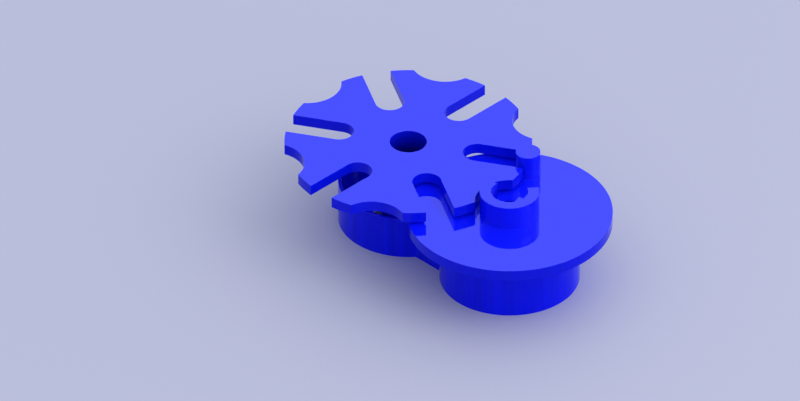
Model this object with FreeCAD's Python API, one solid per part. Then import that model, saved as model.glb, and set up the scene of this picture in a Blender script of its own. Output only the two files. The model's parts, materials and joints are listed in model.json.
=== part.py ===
"""Geneva drive: a driver with a pin and a locking hub turns a six-slot wheel step by step.

Millimetres and degrees. The origin is the centre of the frame's mounting holes on its
underside, +X runs from the wheel's axis to the driver's axis and +Z is up.
"""
import FreeCAD, Part
import os
from math import cos, radians, sin, sqrt, tan

# Geneva pair
SLOT_COUNT = 6
WHEEL_RADIUS = 50.0
WHEEL_THICKNESS = 4.6
PIN_DIAMETER = 10.0
PLAY = 1.8                      # slot width beyond the pin, and lock arc beyond the hub
WHEEL_LIFT = 1.1                # drive disc to wheel

# Driver
DISC_THICKNESS = 4.7
DISC_CLEARANCE = 1.25           # disc edge to the wheel's hub
DISC_LIFT = 8.2                 # frame rim to drive disc
LOCK_WALL = 4.57                # locking hub, bore to outside
LOCK_HEIGHT = 10.0
PIN_HEIGHT = 10.0
PIN_SHANK_DIAMETER = 6.0
PIN_SHANK_END = 0.5             # thread left showing below the nut
PIN_WASHER_RADIUS = 6.0
PIN_NUT_WIDTH = 10.0
PIN_NUT_HEIGHT = 3.2
KEY_WIDTH = 3.0
KEY_HEIGHT = 3.0
KEY_SEAT = 1.3                  # depth of the key in the sleeve

# Sleeves, bushes and posts
BORE_RADIUS = 7.5
SLEEVE_WALL = 2.5
BUSH_WALL = 2.0
BUSH_FLANGE = 2.0
BUSH_SPACE = 0.9                # oil space between the two bushes of the drive post
HOUSING_WALL = 2.8
POST_FLANGE = 4.0
SCREW_LEDGE = 5.4               # width of the post's flange beside its tube
HUB_FLANGE = 3.0
WASHER_THICKNESS = 1.0
LOCK_NUT_HEIGHT = 4.0
LOCK_NUT_SLOTS = 4
LOCK_NUT_SLOT_WIDTH = 3.2
LOCK_NUT_SLOT_DEPTH = 1.6
FLANGE_STEP = 0.8               # bush flanges, washers and lock nut inside the post's outline
CIRCLIP_THICKNESS = 1.2
CIRCLIP_DEPTH = 0.9
CIRCLIP_WIDTH = 3.0
CIRCLIP_GAP = 5.0
SHIM_THICKNESS = 0.8
SLEEVE_LIP = 1.0                # sleeve left below its circlip
FOOT_CLEARANCE = 0.7            # sleeve end above the mounting surface

# Frame
FRAME_HEIGHT = 18.4
FRAME_WALL = 1.3
BRIDGE_WIDTH = 35.8
FLOOR_BEVEL = 1.0
RIB_COUNT = 3
RIB_HEIGHT = 5.0
RIB_THICKNESS = 1.3
INSERT_DIAMETER = 4.6
INSERT_LENGTH = 5.6
INSERT_BORE = 2.5
BOSS_WALL = 1.0
BOSS_ROOF = 1.6                 # material above an insert

# Fasteners
POST_SCREW_COUNT = 4
POST_SCREW_DIAMETER = 2.5
POST_SCREW_HEAD = 4.5
POST_SCREW_REACH = 3.0          # thread in the frame's floor
WHEEL_SCREW_COUNT = 6
WHEEL_SCREW_DIAMETER = 2.0
WHEEL_SCREW_HEAD = 3.8
WHEEL_SCREW_REACH = 3.2         # thread in the wheel
DOWEL_COUNT = 2
DOWEL_DIAMETER = 2.0
DOWEL_REACH = 3.0

# Fits
RUNNING_GAP = 0.05              # radial, sleeve in bush
FIT_GAP = 0.05                  # radial, pieces of one body
LOOSE_GAP = 0.2                 # radial, through holes and rings
END_PLAY = 0.3                  # axial, between turning and standing pieces
EDGE_BREAK = 0.4

# Geneva geometry: the crank stands square to the slot as the pin enters it
HALF_STEP = 180.0 / SLOT_COUNT
CENTRE_DISTANCE = WHEEL_RADIUS / cos(radians(HALF_STEP))
PIN_ORBIT = WHEEL_RADIUS * tan(radians(HALF_STEP))
SLOT_END = CENTRE_DISTANCE - PIN_ORBIT
SLOT_WIDTH = PIN_DIAMETER + PLAY
LOCK_RADIUS = BORE_RADIUS + LOCK_WALL
LOCK_ARC = LOCK_RADIUS + PLAY
CRANK_ANGLE = 90.0 + HALF_STEP
WHEEL_X = -CENTRE_DISTANCE / 2
DRIVE_X = CENTRE_DISTANCE / 2

# Radii of one bearing station, from the bore outwards
SLEEVE_RADIUS = BORE_RADIUS + SLEEVE_WALL
BUSH_RADIUS = SLEEVE_RADIUS + BUSH_WALL
HOUSING_RADIUS = BUSH_RADIUS + HOUSING_WALL
RING_RADIUS = HOUSING_RADIUS - FLANGE_STEP
RECESS_RADIUS = RING_RADIUS + LOOSE_GAP
POST_RADIUS = HOUSING_RADIUS + SCREW_LEDGE
POST_SCREW_CIRCLE = (HOUSING_RADIUS + POST_RADIUS) / 2
HUB_SCREW_CIRCLE = (SLEEVE_RADIUS + HOUSING_RADIUS) / 2
BOSS_RADIUS = INSERT_DIAMETER / 2 + BOSS_WALL
BOSS_CIRCLE = POST_RADIUS + END_PLAY + BOSS_RADIUS
LOBE_RADIUS = BOSS_CIRCLE + BOSS_RADIUS + FRAME_WALL
DISC_RADIUS = CENTRE_DISTANCE - HOUSING_RADIUS - DISC_CLEARANCE

# Heights, from the underside up
SLEEVE_BOTTOM = FOOT_CLEARANCE
CIRCLIP_BOTTOM = SLEEVE_BOTTOM + SLEEVE_LIP
SHIM_BOTTOM = CIRCLIP_BOTTOM + CIRCLIP_THICKNESS
FLOOR_TOP = SHIM_BOTTOM + SHIM_THICKNESS + END_PLAY
RECESS_TOP = FLOOR_TOP + BUSH_FLANGE
DISC_BOTTOM = FRAME_HEIGHT + DISC_LIFT
DISC_TOP = DISC_BOTTOM + DISC_THICKNESS
WHEEL_BOTTOM = DISC_TOP + WHEEL_LIFT
WHEEL_TOP = WHEEL_BOTTOM + WHEEL_THICKNESS
HUB_BOTTOM = WHEEL_BOTTOM - HUB_FLANGE
NUT_TOP = DISC_BOTTOM - WASHER_THICKNESS
NUT_BOTTOM = NUT_TOP - LOCK_NUT_HEIGHT
DRIVE_POST_TOP = NUT_BOTTOM - END_PLAY - WASHER_THICKNESS - BUSH_FLANGE
WHEEL_POST_TOP = HUB_BOTTOM - END_PLAY - WASHER_THICKNESS - BUSH_FLANGE
BUSH_LENGTH = (DRIVE_POST_TOP - RECESS_TOP - BUSH_SPACE) / 2


def polar(centre_x, radius, angle, z=0.0):
    """Point at an angle round a vertical axis that stands at centre_x."""
    turn = radians(angle)
    return FreeCAD.Vector(centre_x + radius * cos(turn), radius * sin(turn), z)


def rod(centre, radius, height):
    """Upright cylinder that stands on its centre point."""
    return Part.makeCylinder(radius, height, centre)


def turned(centre_x, profile):
    """Solid of revolution of a closed profile of (radius, z) points."""
    points = [FreeCAD.Vector(r, 0, z) for r, z in profile]
    face = Part.Face(Part.makePolygon(points + points[:1]))
    solid = face.revolve(FreeCAD.Vector(0, 0, 0), FreeCAD.Vector(0, 0, 1), 360)
    solid.translate(FreeCAD.Vector(centre_x, 0, 0))
    return solid


def ring(centre_x, inner, outer, bottom, top):
    """Plain washer or tube."""
    profile = [(inner, bottom), (outer, bottom), (outer, top), (inner, top)]
    return turned(centre_x, profile)


def hexagon(centre, width, height):
    """Upright hexagonal prism, width across flats."""
    corner = width / 2 / cos(radians(30))
    points = [centre + polar(0, corner, 60 * i) for i in range(7)]
    return Part.Face(Part.makePolygon(points)).extrude(FreeCAD.Vector(0, 0, height))


def radial_block(centre_x, angle, inner, outer, width, bottom, top):
    """Block that lies along a radius, from one distance to another."""
    corner = FreeCAD.Vector(inner, -width / 2, bottom)
    block = Part.makeBox(outer - inner, width, top - bottom, corner)
    block.rotate(FreeCAD.Vector(0, 0, 0), FreeCAD.Vector(0, 0, 1), angle)
    block.translate(FreeCAD.Vector(centre_x, 0, 0))
    return block


def circle_points(centre_x, radius, count, first, z):
    """Evenly spaced points round an axis."""
    return [polar(centre_x, radius, first + 360.0 * i / count, z) for i in range(count)]


def joined(solids):
    """One solid made of several that meet."""
    return solids[0].fuse(solids[1:]).removeSplitter()


def tray_outline(inset, bottom, height):
    """Two round lobes and the straight bridge between them, drawn in by inset."""
    lobes = [rod(FreeCAD.Vector(x, 0, bottom), LOBE_RADIUS - inset, height) for x in (WHEEL_X, DRIVE_X)]
    width = BRIDGE_WIDTH - 2 * inset
    bridge = Part.makeBox(CENTRE_DISTANCE, width, height, FreeCAD.Vector(WHEEL_X, -width / 2, bottom))
    return joined(lobes + [bridge])


def insert_places():
    """Centres of the four inserts, at the outer corners of the lobes."""
    left = [polar(WHEEL_X, BOSS_CIRCLE, angle) for angle in (135, 225)]
    right = [polar(DRIVE_X, BOSS_CIRCLE, angle) for angle in (45, 315)]
    return left + right


def post_screw_places(centre_x):
    """Centres of the screws of one post."""
    return circle_points(centre_x, POST_SCREW_CIRCLE, POST_SCREW_COUNT, 0, FLOOR_TOP)


def tray_cavity():
    """Inside of the tray, bevelled where its walls meet the floor."""
    cavity = tray_outline(FRAME_WALL, FLOOR_TOP, FRAME_HEIGHT)
    floor_edges = [edge for edge in cavity.Edges if edge.BoundBox.ZMax < FLOOR_TOP + EDGE_BREAK]
    return cavity.makeChamfer(FLOOR_BEVEL, floor_edges)


def bridge_ribs():
    """Low ribs along the bridge, stopping short of the posts."""
    reach = CENTRE_DISTANCE - 2 * (POST_RADIUS + END_PLAY)
    pitch = BRIDGE_WIDTH / (RIB_COUNT + 1)
    ribs = []
    for i in range(RIB_COUNT):
        y = (i + 1) * pitch - BRIDGE_WIDTH / 2 - RIB_THICKNESS / 2
        corner = FreeCAD.Vector(-reach / 2, y, FLOOR_TOP)
        ribs.append(Part.makeBox(reach, RIB_THICKNESS, RIB_HEIGHT, corner))
    return ribs


def frame_base():
    """Open tray with insert bosses, ribs and a hole under each bearing post."""
    tray = tray_outline(0, 0, FRAME_HEIGHT).cut(tray_cavity())
    boss_height = INSERT_LENGTH + BOSS_ROOF
    bosses = [rod(place, BOSS_RADIUS, boss_height) for place in insert_places()]
    tray = joined([tray] + bosses + bridge_ribs())
    cuts = [rod(FreeCAD.Vector(x, 0, 0), RECESS_RADIUS, FLOOR_TOP) for x in (WHEEL_X, DRIVE_X)]
    cuts += [rod(place, INSERT_DIAMETER / 2 + FIT_GAP, INSERT_LENGTH) for place in insert_places()]
    depth = FreeCAD.Vector(0, 0, POST_SCREW_REACH + FIT_GAP)
    for x in (WHEEL_X, DRIVE_X):
        for place in post_screw_places(x):
            cuts.append(rod(place - depth, POST_SCREW_DIAMETER / 2 + FIT_GAP, depth.z))
    return tray.cut(cuts)


def mount_inserts():
    """Threaded inserts, flush with the underside."""
    inserts = []
    for place in insert_places():
        bore = rod(place, INSERT_BORE / 2, INSERT_LENGTH)
        inserts.append(rod(place, INSERT_DIAMETER / 2, INSERT_LENGTH).cut(bore))
    return Part.makeCompound(inserts)


def bearing_post(centre_x, top):
    """Flanged tube for two bushes, with a recess for the lower bush's flange."""
    flange_top = FLOOR_TOP + POST_FLANGE
    profile = [(RECESS_RADIUS, FLOOR_TOP), (POST_RADIUS, FLOOR_TOP), (POST_RADIUS, flange_top - EDGE_BREAK)]
    profile += [(POST_RADIUS - EDGE_BREAK, flange_top), (HOUSING_RADIUS, flange_top)]
    profile += [(HOUSING_RADIUS, top - EDGE_BREAK), (HOUSING_RADIUS - EDGE_BREAK, top)]
    profile += [(BUSH_RADIUS, top), (BUSH_RADIUS, RECESS_TOP), (RECESS_RADIUS, RECESS_TOP)]
    holes = [rod(place, POST_SCREW_DIAMETER / 2 + LOOSE_GAP, POST_FLANGE)
             for place in post_screw_places(centre_x)]
    return turned(centre_x, profile).cut(holes)


def post_screws(centre_x):
    """Socket-head screws that hold one post to the frame's floor."""
    screws = []
    for place in post_screw_places(centre_x):
        seat = place + FreeCAD.Vector(0, 0, POST_FLANGE)
        length = POST_FLANGE + POST_SCREW_REACH
        shank = rod(seat - FreeCAD.Vector(0, 0, length), POST_SCREW_DIAMETER / 2, length)
        head = rod(seat, POST_SCREW_HEAD / 2, POST_SCREW_DIAMETER)
        socket = seat + FreeCAD.Vector(0, 0, POST_SCREW_DIAMETER / 2)
        screw = head.fuse(shank).cut(hexagon(socket, POST_SCREW_HEAD / 2, POST_SCREW_DIAMETER))
        screws.append(screw.removeSplitter())
    return Part.makeCompound(screws)


def flanged_bush(centre_x, seat, side):
    """Bronze bush whose flange lies on the seat's outer side: +1 above it, -1 below it."""
    inner = SLEEVE_RADIUS + RUNNING_GAP
    outer = BUSH_RADIUS - FIT_GAP
    end = seat - side * BUSH_LENGTH
    profile = [(inner, seat + side * BUSH_FLANGE), (RING_RADIUS, seat + side * BUSH_FLANGE)]
    profile += [(RING_RADIUS, seat), (outer, seat), (outer, end + side * EDGE_BREAK)]
    profile += [(outer - EDGE_BREAK, end), (inner, end)]
    return turned(centre_x, profile)


def thrust_washer(centre_x, bottom):
    """Washer that lies on the upper bush's flange."""
    return ring(centre_x, SLEEVE_RADIUS + LOOSE_GAP, RING_RADIUS, bottom, bottom + WASHER_THICKNESS)


def shim(centre_x):
    """Thin ring between the circlip and the lower bush."""
    top = SHIM_BOTTOM + SHIM_THICKNESS
    return ring(centre_x, SLEEVE_RADIUS + LOOSE_GAP, RING_RADIUS - FLANGE_STEP, SHIM_BOTTOM, top)


def circlip(centre_x):
    """Open spring ring in the groove at the sleeve's lower end."""
    inner = SLEEVE_RADIUS - CIRCLIP_DEPTH + FIT_GAP
    band = ring(centre_x, inner, inner + CIRCLIP_WIDTH, CIRCLIP_BOTTOM, SHIM_BOTTOM)
    gap = radial_block(centre_x, 90, 0, RECESS_RADIUS, CIRCLIP_GAP, 0, FLOOR_TOP)
    return band.cut(gap)


def sleeve_profile(top):
    """Half section of a sleeve with its circlip groove, from the foot up to a shoulder."""
    groove = SLEEVE_RADIUS - CIRCLIP_DEPTH
    profile = [(BORE_RADIUS, top), (BORE_RADIUS, SLEEVE_BOTTOM)]
    profile += [(SLEEVE_RADIUS - EDGE_BREAK, SLEEVE_BOTTOM), (SLEEVE_RADIUS, SLEEVE_BOTTOM + EDGE_BREAK)]
    profile += [(SLEEVE_RADIUS, CIRCLIP_BOTTOM), (groove, CIRCLIP_BOTTOM)]
    profile += [(groove, SHIM_BOTTOM), (SLEEVE_RADIUS, SHIM_BOTTOM)]
    return profile


def slot_cutter(angle):
    """Obround cutter for one radial slot, open past the wheel's rim."""
    half = SLOT_WIDTH / 2
    depth = WHEEL_TOP - WHEEL_BOTTOM
    end = rod(polar(WHEEL_X, SLOT_END, angle, WHEEL_BOTTOM), half, depth)
    run = radial_block(WHEEL_X, angle, SLOT_END, CENTRE_DISTANCE, SLOT_WIDTH, WHEEL_BOTTOM, WHEEL_TOP)
    return end.fuse(run).removeSplitter()


def wheel_screw_places():
    """Centres of the screws on the wheel hub's flange."""
    return circle_points(WHEEL_X, HUB_SCREW_CIRCLE, WHEEL_SCREW_COUNT, 0, WHEEL_BOTTOM)


def dowel_places():
    """Two opposite places, midway between two screws."""
    first = 180.0 / WHEEL_SCREW_COUNT
    return circle_points(WHEEL_X, HUB_SCREW_CIRCLE, DOWEL_COUNT, first, WHEEL_BOTTOM)


def geneva_wheel():
    """Star wheel: radial slots with lock arcs between them, tapped from below."""
    blank = rod(FreeCAD.Vector(WHEEL_X, 0, WHEEL_BOTTOM), WHEEL_RADIUS, WHEEL_THICKNESS)
    cuts = [rod(FreeCAD.Vector(WHEEL_X, 0, WHEEL_BOTTOM), BORE_RADIUS, WHEEL_THICKNESS)]
    for i in range(SLOT_COUNT):
        step = 360.0 / SLOT_COUNT * i
        cuts.append(slot_cutter(HALF_STEP + step))
        cuts.append(rod(polar(WHEEL_X, CENTRE_DISTANCE, step, WHEEL_BOTTOM), LOCK_ARC, WHEEL_THICKNESS))
    cuts += [rod(place, WHEEL_SCREW_DIAMETER / 2 + FIT_GAP, WHEEL_SCREW_REACH + FIT_GAP)
             for place in wheel_screw_places()]
    cuts += [rod(place, DOWEL_DIAMETER / 2 + FIT_GAP, DOWEL_REACH + FIT_GAP) for place in dowel_places()]
    return blank.cut(cuts)


def countersunk_shape(extra):
    """One countersunk screw with its head down, grown by extra to make its seat."""
    shank = WHEEL_SCREW_DIAMETER / 2 + extra
    head = WHEEL_SCREW_HEAD / 2 + extra
    cone = head - shank
    top = WHEEL_BOTTOM + WHEEL_SCREW_REACH
    profile = [(0, HUB_BOTTOM), (head, HUB_BOTTOM), (shank, HUB_BOTTOM + cone), (shank, top), (0, top)]
    return turned(0, profile)


def wheel_hub():
    """Flanged sleeve that carries the wheel in the wheel post's bushes."""
    profile = sleeve_profile(WHEEL_BOTTOM - EDGE_BREAK)
    profile += [(SLEEVE_RADIUS, HUB_BOTTOM), (HOUSING_RADIUS, HUB_BOTTOM)]
    profile += [(HOUSING_RADIUS, WHEEL_BOTTOM), (BORE_RADIUS + EDGE_BREAK, WHEEL_BOTTOM)]
    cuts = []
    for place in wheel_screw_places():
        seat = countersunk_shape(FIT_GAP)
        seat.translate(FreeCAD.Vector(place.x, place.y, 0))
        cuts.append(seat)
    drop = FreeCAD.Vector(0, 0, HUB_FLANGE)
    cuts += [rod(place - drop, DOWEL_DIAMETER / 2 + FIT_GAP, HUB_FLANGE) for place in dowel_places()]
    return turned(WHEEL_X, profile).cut(cuts)


def wheel_screws():
    """Countersunk screws up through the hub's flange into the wheel."""
    screws = []
    for place in wheel_screw_places():
        screw = countersunk_shape(0)
        socket = FreeCAD.Vector(0, 0, HUB_BOTTOM)
        screw = screw.cut(hexagon(socket, WHEEL_SCREW_DIAMETER / 2, WHEEL_SCREW_DIAMETER / 2))
        screw.translate(FreeCAD.Vector(place.x, place.y, 0))
        screws.append(screw)
    return Part.makeCompound(screws)


def wheel_dowels():
    """Dowels that place the wheel on its hub."""
    drop = FreeCAD.Vector(0, 0, HUB_FLANGE - EDGE_BREAK)
    length = drop.z + DOWEL_REACH
    return Part.makeCompound([rod(place - drop, DOWEL_DIAMETER / 2, length) for place in dowel_places()])


def key_block(side_gap, inner, outer, bottom):
    """Key shape on the side of the sleeve away from the pin, up to the disc's top."""
    angle = CRANK_ANGLE + 180
    return radial_block(DRIVE_X, angle, inner, outer, KEY_WIDTH + 2 * side_gap, bottom, DISC_TOP)


def key_seat_radius():
    """Distance from the axis to the bottom of the key's seat."""
    return SLEEVE_RADIUS - KEY_SEAT


def hub_key():
    """Parallel key that turns the disc with the locking hub."""
    inner = key_seat_radius() + FIT_GAP
    return key_block(0, inner, inner + KEY_HEIGHT, DISC_BOTTOM)


def drive_disc():
    """Round plate with a keyed hole for the hub and a hole for the pin's shank."""
    plate = rod(FreeCAD.Vector(DRIVE_X, 0, DISC_BOTTOM), DISC_RADIUS, DISC_THICKNESS)
    pin_place = polar(DRIVE_X, PIN_ORBIT, CRANK_ANGLE, DISC_BOTTOM)
    key_reach = key_seat_radius() + KEY_HEIGHT + 2 * FIT_GAP
    cuts = [rod(FreeCAD.Vector(DRIVE_X, 0, DISC_BOTTOM), SLEEVE_RADIUS + FIT_GAP, DISC_THICKNESS)]
    cuts.append(rod(pin_place, PIN_SHANK_DIAMETER / 2 + FIT_GAP, DISC_THICKNESS))
    cuts.append(key_block(FIT_GAP, BORE_RADIUS, key_reach, DISC_BOTTOM))
    return plate.cut(cuts)


def locking_hub():
    """Sleeve with a collar that is cut away in a crescent facing the pin.

    The crescent is an arc about a point two collar radii out, root three collar radii
    large, so it starts sixty degrees to each side of the pin and opens the bore.
    """
    top = DISC_TOP + LOCK_HEIGHT
    profile = sleeve_profile(top)
    profile += [(SLEEVE_RADIUS, DISC_TOP), (LOCK_RADIUS, DISC_TOP), (LOCK_RADIUS, top)]
    crescent_centre = polar(DRIVE_X, 2 * LOCK_RADIUS, CRANK_ANGLE, DISC_TOP)
    crescent = rod(crescent_centre, sqrt(3) * LOCK_RADIUS, LOCK_HEIGHT)
    keyway = key_block(FIT_GAP, key_seat_radius(), SLEEVE_RADIUS + KEY_HEIGHT, NUT_TOP)
    return turned(DRIVE_X, profile).cut([crescent, keyway])


def lock_washer():
    """Tab washer: one tab in the keyway, one bent down into the nut's slot."""
    angle = CRANK_ANGLE + 180
    body = ring(DRIVE_X, SLEEVE_RADIUS + FIT_GAP, RING_RADIUS, NUT_TOP, DISC_BOTTOM)
    inner = radial_block(DRIVE_X, angle, key_seat_radius() + FIT_GAP, SLEEVE_RADIUS + SLEEVE_WALL / 2,
                         KEY_WIDTH, NUT_TOP, DISC_BOTTOM)
    root = RING_RADIUS - WASHER_THICKNESS
    outer = radial_block(DRIVE_X, angle, root, RING_RADIUS, KEY_WIDTH, NUT_TOP - LOCK_NUT_HEIGHT / 2,
                         DISC_BOTTOM)
    outline = rod(FreeCAD.Vector(DRIVE_X, 0, NUT_BOTTOM), RING_RADIUS, LOCK_NUT_HEIGHT + WASHER_THICKNESS)
    return joined([body, inner, outer.common(outline)])


def lock_nut():
    """Round nut with spanner slots, which clamps the disc against the collar."""
    profile = [(SLEEVE_RADIUS + FIT_GAP, NUT_BOTTOM), (RING_RADIUS - EDGE_BREAK, NUT_BOTTOM)]
    profile += [(RING_RADIUS, NUT_BOTTOM + EDGE_BREAK), (RING_RADIUS, NUT_TOP - EDGE_BREAK)]
    profile += [(RING_RADIUS - EDGE_BREAK, NUT_TOP), (SLEEVE_RADIUS + FIT_GAP, NUT_TOP)]
    cuts = []
    for i in range(LOCK_NUT_SLOTS):
        angle = CRANK_ANGLE + 180 + 360.0 / LOCK_NUT_SLOTS * i
        cuts.append(radial_block(DRIVE_X, angle, RING_RADIUS - LOCK_NUT_SLOT_DEPTH, HOUSING_RADIUS,
                                 LOCK_NUT_SLOT_WIDTH, NUT_BOTTOM, NUT_TOP))
    return turned(DRIVE_X, profile).cut(cuts)


def drive_pin():
    """Pin with a thinner threaded shank down through the disc."""
    foot = polar(DRIVE_X, PIN_ORBIT, CRANK_ANGLE, DISC_TOP)
    length = DISC_THICKNESS + WASHER_THICKNESS + PIN_NUT_HEIGHT + PIN_SHANK_END
    shank = rod(foot - FreeCAD.Vector(0, 0, length), PIN_SHANK_DIAMETER / 2, length)
    return joined([rod(foot, PIN_DIAMETER / 2, PIN_HEIGHT), shank])


def pin_washer():
    """Washer under the pin's nut."""
    foot = polar(DRIVE_X, PIN_ORBIT, CRANK_ANGLE, DISC_BOTTOM - WASHER_THICKNESS)
    hole = rod(foot, PIN_SHANK_DIAMETER / 2 + LOOSE_GAP, WASHER_THICKNESS)
    return rod(foot, PIN_WASHER_RADIUS, WASHER_THICKNESS).cut(hole)


def pin_nut():
    """Thin hexagon nut, its corners rounded off below."""
    foot = polar(DRIVE_X, PIN_ORBIT, CRANK_ANGLE, DISC_BOTTOM - WASHER_THICKNESS - PIN_NUT_HEIGHT)
    corner = PIN_NUT_WIDTH / 2 / cos(radians(30))
    flat = PIN_NUT_WIDTH / 2
    profile = [(0, 0), (flat, 0), (corner, corner - flat), (corner, PIN_NUT_HEIGHT), (0, PIN_NUT_HEIGHT)]
    bevel = turned(0, profile)
    bevel.translate(foot)
    hole = rod(foot, PIN_SHANK_DIAMETER / 2 + FIT_GAP, PIN_NUT_HEIGHT)
    return hexagon(foot, PIN_NUT_WIDTH, PIN_NUT_HEIGHT).common(bevel).cut(hole)


def save(node, shape):
    """Write one piece to its own file."""
    shape.exportStep(os.path.join("parts", node + ".step"))


def main():
    os.makedirs("parts", exist_ok=True)
    save("frame_base", frame_base())
    save("mount_inserts", mount_inserts())
    for name, x, top in (("wheel", WHEEL_X, WHEEL_POST_TOP), ("drive", DRIVE_X, DRIVE_POST_TOP)):
        save(name + "_bearing_post", bearing_post(x, top))
        save(name + "_post_screws", post_screws(x))
        save(name + "_upper_bush", flanged_bush(x, top, 1))
        save(name + "_lower_bush", flanged_bush(x, RECESS_TOP, -1))
        save(name + "_thrust_washer", thrust_washer(x, top + BUSH_FLANGE))
        save(name + "_shim", shim(x))
        save(name + "_circlip", circlip(x))
    save("geneva_wheel", geneva_wheel())
    save("wheel_hub", wheel_hub())
    save("wheel_screws", wheel_screws())
    save("wheel_dowels", wheel_dowels())
    save("drive_disc", drive_disc())
    save("locking_hub", locking_hub())
    save("hub_key", hub_key())
    save("lock_washer", lock_washer())
    save("lock_nut", lock_nut())
    save("drive_pin", drive_pin())
    save("pin_washer", pin_washer())
    save("pin_nut", pin_nut())


main()
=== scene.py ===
import bpy
import json
import numpy as np
from math import acos, asin, atan2, ceil, copysign, cos, degrees, pi, radians, sin, sqrt, tan
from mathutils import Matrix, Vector
from mathutils.geometry import tessellate_polygon


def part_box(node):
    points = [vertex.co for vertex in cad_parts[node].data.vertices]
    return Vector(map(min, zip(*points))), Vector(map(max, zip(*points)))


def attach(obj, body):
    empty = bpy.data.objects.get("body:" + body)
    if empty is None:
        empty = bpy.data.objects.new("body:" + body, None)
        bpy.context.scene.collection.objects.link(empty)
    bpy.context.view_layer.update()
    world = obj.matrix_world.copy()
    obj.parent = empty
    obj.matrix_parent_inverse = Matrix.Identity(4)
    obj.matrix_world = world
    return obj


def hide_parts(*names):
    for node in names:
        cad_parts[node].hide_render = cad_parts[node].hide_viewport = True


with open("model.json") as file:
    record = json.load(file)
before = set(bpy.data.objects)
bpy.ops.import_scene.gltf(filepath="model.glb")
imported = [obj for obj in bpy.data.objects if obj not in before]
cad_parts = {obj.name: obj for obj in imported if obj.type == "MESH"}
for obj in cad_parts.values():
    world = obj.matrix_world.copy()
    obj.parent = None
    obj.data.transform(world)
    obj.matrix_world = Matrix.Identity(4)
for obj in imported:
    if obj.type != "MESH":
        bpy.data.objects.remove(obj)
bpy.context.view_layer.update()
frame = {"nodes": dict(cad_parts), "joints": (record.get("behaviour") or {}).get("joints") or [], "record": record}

bl_info = {
    "name": "Geneva drive",
    "version": (1, 0, 0),
    "blender": (4, 5, 0),
    "location": "3D View > Sidebar > Geneva",
    "description": "Builds the visible pieces of a six-slot geneva drive round its packed frame",
    "category": "Object",
}

MM = 0.001
SLOT_COUNT = 6
HALF_STEP = 180 / SLOT_COUNT
BODIES = {"wheel": "wheel", "drive": "driver"}


# Places and sizes read from the frame, in metres

def low(node):
    """Lowest corner of a CAD node."""
    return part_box(node)[0]


def high(node):
    """Highest corner of a CAD node."""
    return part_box(node)[1]


def levels(node):
    """Heights of a CAD node's bottom and top."""
    return low(node).z, high(node).z


def half_width(node, side=0):
    """Half of a CAD node's reach along X, or along Y where side is 1."""
    return (high(node)[side] - low(node)[side]) / 2


def radius_of(node):
    """Largest radius of a round CAD node that reaches furthest towards -Y."""
    return -low(node).y


def named(rows, name):
    """The row of that name."""
    return next(row for row in rows if row["name"] == name)


def ray(turn):
    """Unit directions at angles in degrees, as x and y."""
    return np.stack([np.cos(np.radians(turn)), np.sin(np.radians(turn))], -1)


AXIS = {station: np.array(named(frame["joints"], joint)["pos_m"][:2])
        for station, joint in (("wheel", "wheel_play"), ("drive", "drive_turn"))}
SPAN = AXIS["drive"][0] - AXIS["wheel"][0]
WHEEL_RADIUS = SPAN * cos(radians(HALF_STEP))
PIN_ORBIT = SPAN * sin(radians(HALF_STEP))
SLOT_END = SPAN - PIN_ORBIT
CRANK = 90 + HALF_STEP
BORE = named(frame["record"]["mounts"], "output_bore")["dims"]["r_mm"] * MM
SLEEVE_WALL = 2.5 * MM
SLEEVE_RADIUS = BORE + SLEEVE_WALL
PIN_PLACE = AXIS["drive"] + PIN_ORBIT * ray(CRANK)
PIN_RADIUS = half_width("drive_pin")
LOCK_RADIUS = radius_of("locking_hub")
SHANK_RADIUS = 0.6 * PIN_RADIUS
HOUSING_RADIUS = radius_of("wheel_hub")
RING_RADIUS = radius_of("wheel_upper_bush")
POST_RADIUS = radius_of("wheel_bearing_post")
FLOOR_TOP = low("wheel_bearing_post").z
DISC_TOP = high("drive_disc").z
HUB_SCREW_CIRCLE = (SLEEVE_RADIUS + HOUSING_RADIUS) / 2
POST_SCREW_CIRCLE = (HOUSING_RADIUS + POST_RADIUS) / 2
PATTERN = named(frame["record"]["mounts"], "base_inserts")["dims"]
INSERT_REACH = np.array([PATTERN["spacing_x_mm"], PATTERN["spacing_y_mm"]]) / 2 * MM
INSERT_PLACES = [INSERT_REACH * (i, j) for i in (-1, 1) for j in (-1, 1)]
INSERT_RADIUS = high("mount_inserts").x - INSERT_REACH[0]

# Shares and measures that no setting changes

WIDEST_STEP = radians(7.5)
LEAST_STEPS = 48
SOCKET_SHARE = 0.5
RIPPLE_DEPTH = 0.02 * MM
BORE_MARGIN = 0.01 * MM
NOISE_RANGE = (0.3, 0.7)
# Darkest streak colour, as a share of the tint: a random tone and painted reflection streaks
STREAK_TONE_AND_REFLECTION = 0.4
# Darkest painted shade deep in a bore, as a share of the tint
PAINTED_BORE_SHADE = 0.12
STAIN_SHADE = 0.72


# Settings that a user would change

def length(name, description, value):
    """Length setting, its default given in millimetres."""
    return bpy.props.FloatProperty(name=name, description=description, default=value * MM, min=0.0,
                                   unit="LENGTH", precision=5)


def share(name, description, value, top=1.0):
    """Plain number from nought to top."""
    return bpy.props.FloatProperty(name=name, description=description, default=value, min=0.0, max=top)


def colour(name, description, value):
    """Linear colour."""
    return bpy.props.FloatVectorProperty(name=name, description=description, default=value, size=3,
                                         min=0.0, max=1.0, subtype="COLOR")


def angle(name, description, value):
    """Angle, its default given in degrees."""
    return bpy.props.FloatProperty(name=name, description=description, default=radians(value),
                                   subtype="ANGLE")


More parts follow.
